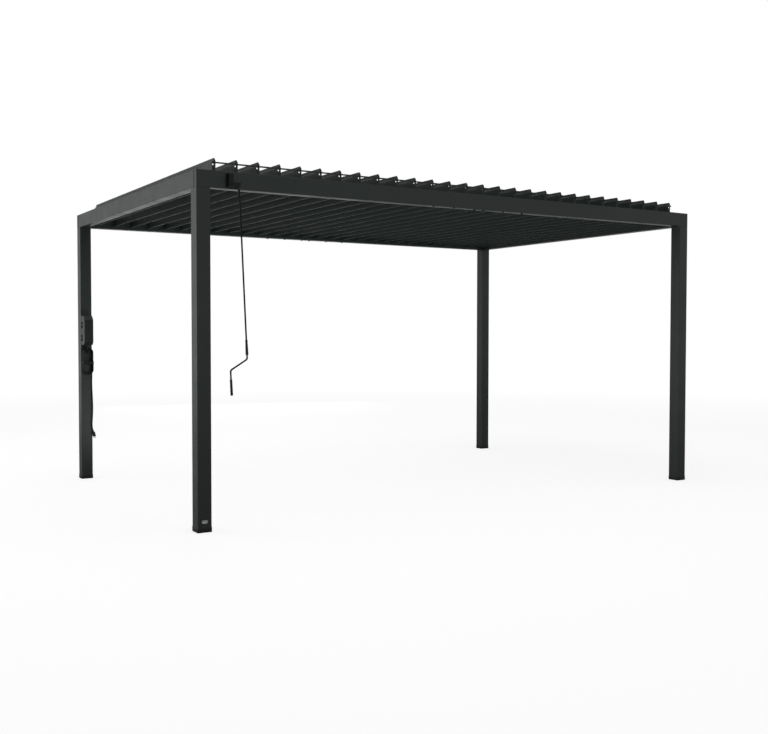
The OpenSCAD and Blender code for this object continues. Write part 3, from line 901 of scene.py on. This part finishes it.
# %% Gearbox cover
gear_low, gear_high = box_mm("gearbox")
gear_margin, gear_face, gear_w = 3, -32.0, 36.0
gear_x, gear_z = gear_low.x + gear_margin, gear_low.z + gear_margin
gear_h = gear_high.z - gear_low.z - 2 * gear_margin
cover_margin, screw_x, screw_z = 3, 6.5, 7.5
cover = Matrix.Translation((gear_x + gear_w / 2, gear_face + 0.2, gear_z + gear_h / 2)) @ FORWARDS
bm = bmesh.new()
layers = [(0, 0), (1.2, 0), (1.8, 0.6)]
add_slab(bm, gear_w - cover_margin, gear_h - cover_margin, 4, layers, cover)
for x in (screw_x, gear_w - screw_x):
    for z in (screw_z, gear_h - screw_z):
        add_screw(bm, (gear_x + x, gear_face - 1.6, gear_z + z), (0, -1, 0), 2.8, 1.8)
new_piece("gearbox_cover", bm, "frame", "gear_case")
print("cover", round(gear_h - cover_margin), "mm high")

# %% [markdown]
# Two small steel screws hold the socket plate. The badge is a blank plate with round ends and a
# raised rim.

# %% Socket screws and blank badge
socket_low, socket_high = box_mm("outlet_sockets")
socket_mid = (socket_low + socket_high) / 2
box_x = box_mm("outlet_box")[0].x
plate_reach = 61  # from the sockets' middle to a screw
places = [(box_x, socket_mid.y, socket_mid.z + dz) for dz in (-plate_reach, plate_reach)]
screw_piece("socket_screws", places, (-1, 0, 0), 2.6, 1.0, "frame", "bright_steel")

badge_low, badge_high = box_mm("badge_plate")
badge_mid, badge_h = (badge_low + badge_high) / 2, 23
place = Matrix.Translation((badge_mid.x, 0, badge_mid.z)) @ FORWARDS
layers = [(-0.2, 0), (1.0, 0), (1.5, 0.7), (1.5, 2.4), (1.2, 2.8)]
bm = bmesh.new()
add_slab(bm, badge_high.x - badge_low.x, badge_h, 11, layers, place)
badge = new_piece("blank_badge", bm, "frame", "bright_steel")
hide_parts("badge_plate")
print("sockets at", round(socket_mid.z), "mm, badge at", round(badge_mid.z), "mm")

# %% [markdown]
# Every blade has a pin through the tie bar that moves them all together. A low cap on each pin
# rides on its own blade, so it stays on the bar as the roof opens.

# %% Caps on the tie bar's pins
pin_dx, pin_dz = 8, 71  # from a blade's pivot to its pin
cap_front = box_mm("tie_bar")[0].y - 3.3
caps = 0
for name, joint in hinge.items():
    if name.startswith("louver_"):
        pivot = (Vector(joint["pos_m"]) - corner) / MM
        place = (pivot.x + pin_dx, cap_front, pivot.z + pin_dz)
        cap = "pin_cap_" + name[7:9]
        screw_piece(cap, [place], (0, -1, 0), 4.6, 2.0, joint["child"], "bar_coat")
        caps += 1
print(caps, "caps")

# %% [markdown]
# The studio floor is pale near the pergola and runs out to a white horizon. Light Path tells the
# floor what kind of ray meets it, so that it can look white to the camera and still light the
# undersides only a little. In reflections it is dark close by and pale far away. Seen from below
# it is clear, so that the undersides can be looked at too.

# %% Floor
floor_half = 60
floor_grey = 0.30
near_glow, near_share, far_share = 0.78, 0.08, 0.85  # shares are what reflections see of a glow
fade_start, fade_end = 7.0, 15.0  # metres from the middle
bm = bmesh.new()
bmesh.ops.create_grid(bm, x_segments=1, y_segments=1, size=floor_half)
floor_mesh = bpy.data.meshes.new("floor")
bm.to_mesh(floor_mesh)
bm.free()
floor = bpy.data.objects.new("floor", floor_mesh)
bpy.context.scene.collection.objects.link(floor)
floor_material, tree, shader = start_material("studio floor")
shader.inputs["Base Color"].default_value = (floor_grey, floor_grey, floor_grey, 1)
shader.inputs["Roughness"].default_value = 0.9
shader.inputs["Specular IOR Level"].default_value = 0.1
rays = put(tree, "ShaderNodeLightPath")
looked_at, mirrored = rays.outputs["Is Camera Ray"], rays.outputs["Is Glossy Ray"]
WHITE = (1, 1, 1, 1)
seen = maths(tree, "MAXIMUM", looked_at, maths(tree, "MULTIPLY", mirrored, near_share))
seen = maths(tree, "MULTIPLY", seen, near_glow)
glow = put(tree, "ShaderNodeEmission", (("Color", WHITE), ("Strength", seen)))
lit = put(tree, "ShaderNodeAddShader", ((0, shader.outputs[0]), (1, glow.outputs[0])))
horizon = maths(tree, "MAXIMUM", looked_at, maths(tree, "MULTIPLY", mirrored, far_share))
white = put(tree, "ShaderNodeEmission", (("Color", WHITE), ("Strength", horizon)))
surface = put(tree, "ShaderNodeNewGeometry")
links = ((0, surface.outputs["Position"]),)
away = put(tree, "ShaderNodeVectorMath", links, operation="LENGTH").outputs["Value"]
far = ranged(tree, away, fade_start, fade_end)
far = maths(tree, "MULTIPLY", far, maths(tree, "MAXIMUM", looked_at, mirrored))
both = put(tree, "ShaderNodeMixShader", ((0, far), (1, lit.outputs[0]), (2, white.outputs[0])))
under = maths(tree, "MULTIPLY", surface.outputs["Backfacing"], looked_at)
clear = put(tree, "ShaderNodeBsdfTransparent")
shown = put(tree, "ShaderNodeMixShader", ((0, under), (1, both.outputs[0]), (2, clear.outputs[0])))
tree.links.new(shown.outputs[0], tree.nodes["Material Output"].inputs["Surface"])
floor_mesh.materials.append(floor_material)
print("floor made")

# %% [markdown]
# The sky is white to the camera and a weak, even glow to the surfaces. Smooth metal shows what it
# reflects, so for reflections the sky is a room: a bright wall behind the pergola, a middling one
# in front, which is darker on the left, and little else. The Standard view transform shows each
# colour as it is written, which is what a finish is judged by.

# %% Sky
bpy.context.scene.view_settings.view_transform = "Standard"
room_dark, wall_behind, sky_glow = 0.10, 0.66, 0.42
front_left_wall, front_right_wall = 0.36, 0.52
world = bpy.data.worlds.new("studio")
bpy.context.scene.world = world
world.use_nodes = True
tree = world.node_tree
rays = put(tree, "ShaderNodeLightPath")
direction = put(tree, "ShaderNodeTexCoord").outputs["Generated"]
toward = put(tree, "ShaderNodeSeparateXYZ", ((0, direction),))
behind = ranged(tree, toward.outputs["Y"], 0.60, 0.92, room_dark, wall_behind)
ahead = ranged(tree, toward.outputs["X"], -1.0, 1.0, front_left_wall, front_right_wall)
in_front = ranged(tree, toward.outputs["Y"], 0.0, -0.4)
ahead = maths(tree, "MULTIPLY", in_front, maths(tree, "SUBTRACT", ahead, room_dark))
wall = maths(tree, "ADD", behind, ahead)
seen = maths(tree, "MULTIPLY", rays.outputs["Is Glossy Ray"], wall)
seen = maths(tree, "MAXIMUM", rays.outputs["Is Camera Ray"], seen)
even = maths(tree, "MULTIPLY", rays.outputs["Is Diffuse Ray"], sky_glow)
background = tree.nodes["Background"]
background.inputs["Color"].default_value = WHITE
tree.links.new(maths(tree, "MAXIMUM", seen, even), background.inputs["Strength"])
print("sky made")

# %% [markdown]
# Four soft lights do the rest, from the left, from the rear, from the top and from low down under
# the roof. The camera doesn't see them.

# %% Lights


def area_light(name, place, target, size, power):
    """A soft square light at place, facing target, that the camera doesn't see."""
    light = bpy.data.lights.new(name, "AREA")
    light.shape, light.size, light.energy = "SQUARE", size, power
    lamp = bpy.data.objects.new(name, light)
    bpy.context.scene.collection.objects.link(lamp)
    lamp.location = place
    lamp.visible_camera = False
    lamp.rotation_euler = (Vector(target) - Vector(place)).to_track_quat("-Z", "Y").to_euler()


area_light("left light", (-9.0, 4.0, 2.6), (-1.5, 0, 1.9), 4.0, 170)
area_light("rear light", (3.0, 10.0, 1.2), (0.5, 0, 2.4), 5.0, 70)
area_light("top light", (-1.0, -1.0, 9.0), (0, 0, 0), 7.0, 260)
area_light("low light", (-1.5, -0.5, 0.12), (-1.2, -0.3, 2.4), 1.8, 26)
print("studio lit")
